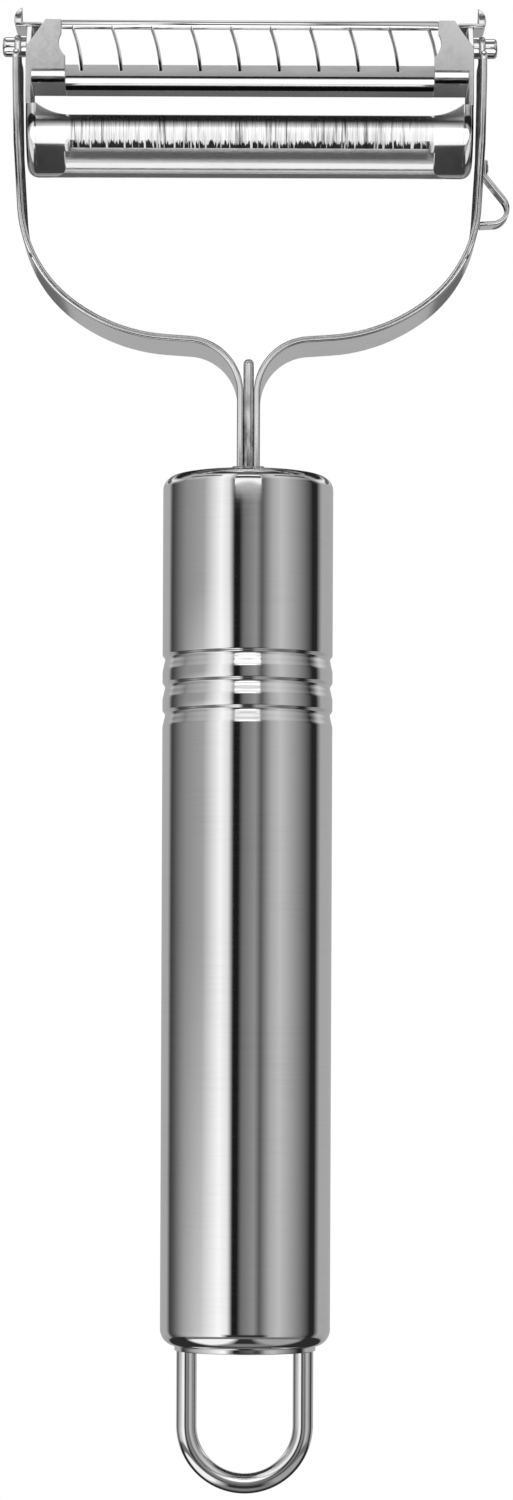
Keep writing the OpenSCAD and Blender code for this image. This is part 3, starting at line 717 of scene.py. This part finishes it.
class OBJECT_OT_peeler_stage(bpy.types.Operator):
    """Sets the white world, the studio tent that the steel reflects, the floor, a lamp and the camera"""
    bl_idname = "object.peeler_stage"
    bl_label = "Stage"

    def execute(self, context):
        scene = context.scene
        scene.view_settings.view_transform = "Standard"
        self.world(scene)
        self.tent()
        self.mat()
        self.cards()
        self.floor()
        self.lamp(context)
        self.camera(context)
        return {"FINISHED"}

    def world(self, scene):
        """White for what is seen, reflected or looked through, and a plain level for the light."""
        world = bpy.data.worlds.new("studio")
        world.use_nodes = True
        tree = world.node_tree
        tree.nodes.clear()
        path = add_node(tree, "ShaderNodeLightPath")
        seen = add_node(tree, "ShaderNodeMath", {"operation": "MAXIMUM"},
                        _0=path.outputs["Is Camera Ray"], _1=path.outputs["Is Glossy Ray"])
        seen = add_node(tree, "ShaderNodeMath", {"operation": "MAXIMUM"},
                        _0=seen.outputs[0], _1=path.outputs["Is Transmission Ray"])
        light = add_node(tree, "ShaderNodeBackground", Color=linear("FFFFFF"), Strength=0.8)
        white = add_node(tree, "ShaderNodeBackground", Color=linear("FFFFFF"), Strength=1.0)
        both = add_node(tree, "ShaderNodeMixShader", _0=seen.outputs[0], _1=light.outputs[0],
                        _2=white.outputs[0])
        add_node(tree, "ShaderNodeOutputWorld", Surface=both.outputs[0])
        scene.world = world

    def tent(self):
        """A large tent round the object, which only reflections see: soft boxes, gaps and grey walls."""
        radius = 2.5
        bpy.ops.object.select_all(action="DESELECT")
        bpy.ops.mesh.primitive_uv_sphere_add(segments=64, ring_count=32, radius=radius, location=(0, 0, 0))
        tent = bpy.context.object
        tent.name = "studio_tent"
        material = empty_material("tent_cloth")
        tree = material.node_tree
        place = add_node(tree, "ShaderNodeSeparateXYZ",
                         _0=add_node(tree, "ShaderNodeTexCoord").outputs["Object"])
        front = add_node(tree, "ShaderNodeMath", {"operation": "MULTIPLY"}, _0=place.outputs[1], _1=-1.0)
        turn = add_node(tree, "ShaderNodeMath", {"operation": "ARCTAN2"}, _0=place.outputs[0],
                        _1=front.outputs[0])
        turn = add_node(tree, "ShaderNodeMapRange", _0=turn.outputs[0], _1=-math.pi, _2=math.pi)
        height = add_node(tree, "ShaderNodeMath", {"operation": "DIVIDE"}, _0=place.outputs[2], _1=radius)
        height = add_node(tree, "ShaderNodeMath", {"operation": "ARCSINE"}, _0=height.outputs[0])
        height = add_node(tree, "ShaderNodeMapRange", _0=height.outputs[0], _1=-math.pi / 2,
                          _2=math.pi / 2)
        # The walls with their soft boxes, and where other parts hang round the object, in degrees from
        # the front towards the eye remover's side
        by_turn = {
            "walls": (
                (-134, "A2A2A2"), (-124, "3C3C3C"), (-116, "4E4E4E"), (-92, "868686"), (-62, "9C9C9C"),
                (-36, "F2F2F2"), (-25, "D8D8D8"), (-18, "161616"), (-11, "1A1A1A"), (-5, "6C6C6C"),
                (11, "8C8C8C"), (19, "525252"), (33, "A4A4A4"), (46, "BABABA"), (62, "9E9E9E"),
                (98, "222222"), (107, "242424"), (119, "A2A2A2")),
            "in_front": ((-20, "000000"), (-15, "FFFFFF"), (15, "FFFFFF"), (20, "000000")),
            "low_front": ((-34, "000000"), (-24, "FFFFFF"), (24, "FFFFFF"), (34, "000000")),
            "behind": ((-125, "FFFFFF"), (-100, "000000"), (100, "000000"), (125, "FFFFFF")),
            "left": (
                (-112, "000000"), (-104, "5A5A5A"), (-90, "A8A8A8"), (-72, "E0E0E0"), (-56, "FFFFFF"),
                (-24, "FFFFFF"), (-18, "000000")),
        }
        # The panel over the camera, and where each part hangs, in degrees above level
        by_height = {
            "panel": (
                (12, "A8A8A8"), (15.5, "A8A8A8"), (19, "F8F8F8"), (44, "F8F8F8"), (50, "606060"),
                (75, "606060"), (84, "B0B0B0")),
            "raised": ((11.1, "000000"), (11.8, "FFFFFF")),
            "lowered": ((-15, "FFFFFF"), (-9, "000000")),
            "light_ring": ((20, "000000"), (30, "7C7C7C")),
            "roof": ((52, "000000"), (62, "FFFFFF"), (70, "FFFFFF"), (78, "000000")),
            "sinking": ((-9, "B0B0B0"), (3, "000000")),
            "back_shade": ((24, "000000"), (32, "FFFFFF"), (56, "FFFFFF"), (62, "000000")),
            "back_roof": ((14, "000000"), (28, "FFFFFF")),
            "ground": ((-64, "FFFFFF"), (-56, "000000")),
            "back_low": ((-70, "FFFFFF"), (-12, "000000")),
        }
        # How fully each part hangs at an angle. One that is named by one angle alone spans the other
        hung = {None: 1.0}
        for angle, span, parts in ((turn, 360, by_turn), (height, 180, by_height)):
            for name, stops in parts.items():
                ramp = add_node(tree, "ShaderNodeValToRGB", _0=angle.outputs[0])
                ramp_stops(ramp, [(degrees / span + 0.5, tone) for degrees, tone in stops])
                hung[name] = ramp.outputs[0]
        # Each part lies over those before it: by what angles it hangs, and its colour
        colour = hung["walls"]
        for first, second, part in (
                ("light_ring", None, linear("FFFFFF")), ("roof", None, linear("2C2C2C")),
                ("behind", "back_roof", linear("FFFFFF")), ("behind", "back_shade", linear("242424")),
                ("left", "sinking", linear("FFFFFF")), ("in_front", "raised", hung["panel"]),
                ("low_front", "lowered", linear("2A2A2A")), ("behind", "back_low", linear("343434")),
                ("ground", None, linear("343434"))):
            here = add_node(tree, "ShaderNodeMath", {"operation": "MULTIPLY"}, _0=hung[first],
                            _1=hung[second])
            colour = add_node(tree, "ShaderNodeMixRGB", _0=here.outputs[0], _1=colour, _2=part).outputs[0]
        glow = add_node(tree, "ShaderNodeEmission", Color=colour, Strength=1.2)
        add_node(tree, "ShaderNodeOutputMaterial", Surface=glow.outputs[0])
        self.reflected_only(tent, material)

    def reflected_only(self, card, material):
        """Hangs a card or cloth where only reflections see it, so it lights and shades nothing."""
        for ray in ("camera", "diffuse", "transmission", "volume_scatter", "shadow"):
            setattr(card, "visible_" + ray, False)
        material.cycles.emission_sampling = "NONE"
        card.data.materials.append(material)

    def mat(self):
        """A round dark mat below the object, lighter towards its left and right, clear at its rim."""
        bpy.ops.object.select_all(action="DESELECT")
        bpy.ops.mesh.primitive_circle_add(vertices=96, radius=0.17, fill_type="NGON",
                                          location=(0, 0, -0.09))
        mat = bpy.context.object
        mat.name = "table_mat"
        material = empty_material("dark_mat")
        tree = material.node_tree
        where = add_node(tree, "ShaderNodeTexCoord").outputs["Object"]
        far = add_node(tree, "ShaderNodeVectorMath", {"operation": "LENGTH"}, _0=where).outputs["Value"]
        place = add_node(tree, "ShaderNodeSeparateXYZ", _0=where)
        slope = add_node(tree, "ShaderNodeMapRange", _0=place.outputs[0], _1=-0.05, _2=0.05)
        across = add_node(tree, "ShaderNodeValToRGB", _0=slope.outputs[0])
        ramp_stops(across, [(0.28, "F0F0F0"), (0.4, "2C2C2C"), (0.6, "2C2C2C"), (0.72, "9C9C9C")])
        # Over it lie a spot in the middle, a ring and the rear half, each from none to full
        tone = across
        for value, none, full, shade in ((far, 0.029, 0.018, "7C7C7C"), (far, 0.075, 0.085, "6A6A6A"),
                                         (place.outputs[1], -0.004, 0.01, "2A2A2A")):
            part = add_node(tree, "ShaderNodeMapRange", _0=value, _1=none, _2=full)
            tone = add_node(tree, "ShaderNodeMixRGB", _0=part.outputs[0], _1=tone.outputs[0],
                            _2=linear(shade))
        rim = add_node(tree, "ShaderNodeMapRange", _0=far, _1=0.12, _2=0.14)
        glow = add_node(tree, "ShaderNodeEmission", Color=tone.outputs[0], Strength=1.2)
        clear = add_node(tree, "ShaderNodeBsdfTransparent")
        both = add_node(tree, "ShaderNodeMixShader", _0=rim.outputs[0], _1=glow.outputs[0],
                        _2=clear.outputs[0])
        add_node(tree, "ShaderNodeOutputMaterial", Surface=both.outputs[0])
        self.reflected_only(mat, material)

    def cards(self):
        """Small cards round the head, each with its middle, size, tilt, turn, colour and strength."""
        self.card("grey_strip", (0, 0.06, 0.091), (0.14, 0.013), 90, 0, "606060")
        self.card("dark_band", (0, -0.1, 0.11625), (0.061, 0.0265), 90, 0, "181818")
        for side in (-1, 1):
            self.card("dark_end", (0.0225 * side, 0.06, 0.119), (0.012, 0.043), 90, 0, "181818")
            self.card("dark_foot", (0.0247 * side, 0, 0.0895), (0.0067, 0.028), 0, 0, "404040")
            self.card("dark_wing", (0.051 * side, -0.023, 0.1078), (0.055, 0.0095), 90, 55 * side,
                      "202020")
        self.card("arm_light", (0, -0.3, 0.1335), (0.12, 0.023), 90, 0, "FFFFFF", 2.4)
        self.card("sill", (0, -0.1, 0.092), (0.061, 0.022), 90, 0, "181818", foot="FFFFFF")
        self.card("white_tray", (0, -0.074, 0.075), (0.3, 0.096), 0, 0, "E0E0E0", 1.8, "FFFFFF")
        self.card("sill_foot", (0, -0.0925, 0.0915), (0.06, 0.014), 180, 0, "FFFFFF")
        self.card("dark_slip", (0, -0.0036, 0.1083), (0.051, 0.0032), 0, 0, "0C0C0C")
        self.card("edge_glow", (0, -0.0075, 0.09), (0.042, 0.017), 0, 0, "FFFFFF")

    def card(self, name, middle, size, tilt, turn, colour, strength=1.2, foot=None):
        """A card that glows, in a colour that may change towards its lower or nearer edge.

        An upright card glows on both sides. A level one glows on its upper side, or turned over on its
        lower side, and is clear from the other."""
        bpy.ops.object.select_all(action="DESELECT")
        bpy.ops.mesh.primitive_plane_add(size=1, location=middle,
                                         rotation=(math.radians(tilt), 0, math.radians(turn)))
        card = bpy.context.object
        card.name = name
        card.scale = (size[0], size[1], 1)
        material = empty_material(name + "_card")
        tree = material.node_tree
        where = add_node(tree, "ShaderNodeTexCoord").outputs["Object"]
        place = add_node(tree, "ShaderNodeSeparateXYZ", _0=where)
        ramp = add_node(tree, "ShaderNodeMapRange", _0=place.outputs[1], _1=0.5, _2=-0.5)
        tone = add_node(tree, "ShaderNodeMixRGB", _0=ramp.outputs[0], _1=linear(colour),
                        _2=linear(foot or colour))
        glow = add_node(tree, "ShaderNodeEmission", Color=tone.outputs[0], Strength=strength)
        clear = add_node(tree, "ShaderNodeBsdfTransparent")
        back = 0.0 if tilt == 90 else add_node(tree, "ShaderNodeNewGeometry").outputs["Backfacing"]
        both = add_node(tree, "ShaderNodeMixShader", _0=back, _1=glow.outputs[0], _2=clear.outputs[0])
        add_node(tree, "ShaderNodeOutputMaterial", Surface=both.outputs[0])
        self.reflected_only(card, material)

    def floor(self):
        """A round pale floor well below the object, which fades out towards its rim."""
        bpy.ops.object.select_all(action="DESELECT")
        bpy.ops.mesh.primitive_circle_add(vertices=96, radius=1.6, fill_type="NGON",
                                          location=(0, 0, -0.25))
        floor = bpy.context.object
        floor.name = "floor"
        floor.visible_glossy = False
        material = empty_material("pale_floor")
        tree = material.node_tree
        where = add_node(tree, "ShaderNodeTexCoord").outputs["Object"]
        far = add_node(tree, "ShaderNodeVectorMath", {"operation": "LENGTH"}, _0=where)
        fade = add_node(tree, "ShaderNodeMapRange", _0=far.outputs["Value"], _1=0.5, _2=1.5)
        pale = add_node(tree, "ShaderNodeBsdfPrincipled", Base_Color=linear("FAFAFA"), Roughness=0.9)
        clear = add_node(tree, "ShaderNodeBsdfTransparent")
        both = add_node(tree, "ShaderNodeMixShader", _0=fade.outputs[0], _1=pale.outputs[0],
                        _2=clear.outputs[0])
        add_node(tree, "ShaderNodeOutputMaterial", Surface=both.outputs[0])
        floor.data.materials.append(material)

    def lamp(self, context):
        """One broad soft box overhead, for the shadow on the floor."""
        bpy.ops.object.light_add(type="AREA", location=(-0.4, -0.5, 1.2))
        lamp = context.object
        lamp.name = "soft_box"
        lamp.data.size = 0.9
        lamp.data.energy = 4
        lamp.visible_glossy = False
        lamp.rotation_euler = (Vector((0, 0, 0)) - lamp.location).to_track_quat("-Z", "Y").to_euler()

    def camera(self, context):
        """Level with the handle's foot, half a metre in front, looking at the head from below."""
        bpy.ops.object.camera_add(location=(0.00124, -0.5, -0.0049),
                                  rotation=(math.radians(90), math.radians(-0.23), 0))
        camera = context.object
        # Long lens, shifted up so that the camera stays level and the handle doesn't taper
        camera.data.lens = 102
        camera.data.sensor_width = 36
        camera.data.sensor_fit = "AUTO"
        camera.data.shift_y = 0.2127
        camera.data.clip_start = 0.01
        context.scene.camera = camera


class VIEW3D_PT_peeler(bpy.types.Panel):
    """Lists the peeler's values and its steps"""
    bl_label = "Peeler"
    bl_idname = "VIEW3D_PT_peeler"
    bl_space_type = "VIEW_3D"
    bl_region_type = "UI"
    bl_category = "Peeler"

    def draw(self, context):
        for group in ("peeler_handle", "peeler_edges", "peeler_finish"):
            values = getattr(context.scene, group)
            column = self.layout.column()
            for name in values.bl_rna.properties.keys():
                if name not in ("rna_type", "name"):
                    column.prop(values, name)
        for step in STEPS:
            self.layout.operator(step.bl_idname)


STEPS = (
    OBJECT_OT_peeler_stage,
    OBJECT_OT_peeler_handle,
    OBJECT_OT_peeler_loop,
    OBJECT_OT_peeler_yoke,
    OBJECT_OT_peeler_pins,
    OBJECT_OT_peeler_brackets,
    OBJECT_OT_peeler_julienne,
    OBJECT_OT_peeler_blade,
    OBJECT_OT_peeler_eye_remover,
)
CLASSES = (PeelerFinish, PeelerHandle, PeelerEdges) + STEPS + (VIEW3D_PT_peeler,)


def register():
    for made in CLASSES:
        bpy.utils.register_class(made)
    bpy.types.Scene.peeler_finish = bpy.props.PointerProperty(type=PeelerFinish)
    bpy.types.Scene.peeler_handle = bpy.props.PointerProperty(type=PeelerHandle)
    bpy.types.Scene.peeler_edges = bpy.props.PointerProperty(type=PeelerEdges)


def unregister():
    del bpy.types.Scene.peeler_edges
    del bpy.types.Scene.peeler_handle
    del bpy.types.Scene.peeler_finish
    for made in reversed(CLASSES):
        bpy.utils.unregister_class(made)


def main():
    register()
    for step in STEPS:
        group, name = step.bl_idname.split(".")
        getattr(getattr(bpy.ops, group), name)()


if __name__ == "__main__":
    main()
